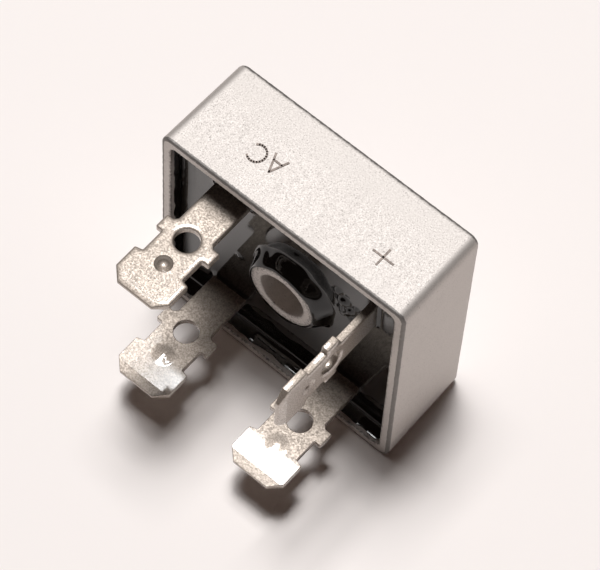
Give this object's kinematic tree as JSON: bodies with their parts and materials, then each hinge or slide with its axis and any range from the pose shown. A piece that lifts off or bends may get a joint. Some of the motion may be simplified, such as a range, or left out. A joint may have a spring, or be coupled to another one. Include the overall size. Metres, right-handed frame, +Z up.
{
  "type": "bridge rectifier",
  "caption": "Potted bridge rectifier: square aluminium cup with a central screw tube, filled with black resin, with stamped push-on terminals, one turned a quarter turn.",
  "frame": {"origin": "centre of the mounting bore on the mounting face", "axes": "+Z up as it stands on its side wall, +Y out of the mounting face into the heatsink, the terminals point to -Y, +X to the side of the turned plus terminal"},
  "size_m": [0.0286, 0.0227, 0.0286],
  "materials": {
    "case": "fine blasted, matte, small nicks on the edges",
    "potting": "glossy cast epoxy with a hollow edge where it climbs the walls",
    "terminals": "tin-plated copper strip, speckled, with fine scratches",
    "sheet": "thin amber insulating film",
    "dice": "passivated silicon",
    "solder": "dull solder"
  },
  "bodies": {
    "root": {"case": "case", "insulating_sheet": "sheet", "terminal_plus": "terminals", "terminal_minus": "terminals", "terminal_ac_upper": "terminals", "terminal_ac_lower": "terminals", "die_upper": "dice", "die_left": "dice", "die_lower": "dice", "die_right": "dice", "solder_upper_front": "solder", "solder_upper_back": "solder", "solder_left_front": "solder", "solder_left_back": "solder", "solder_lower_front": "solder", "solder_lower_back": "solder", "solder_right_front": "solder", "solder_right_back": "solder", "potting": "potting"}
  },
  "joints": []
}
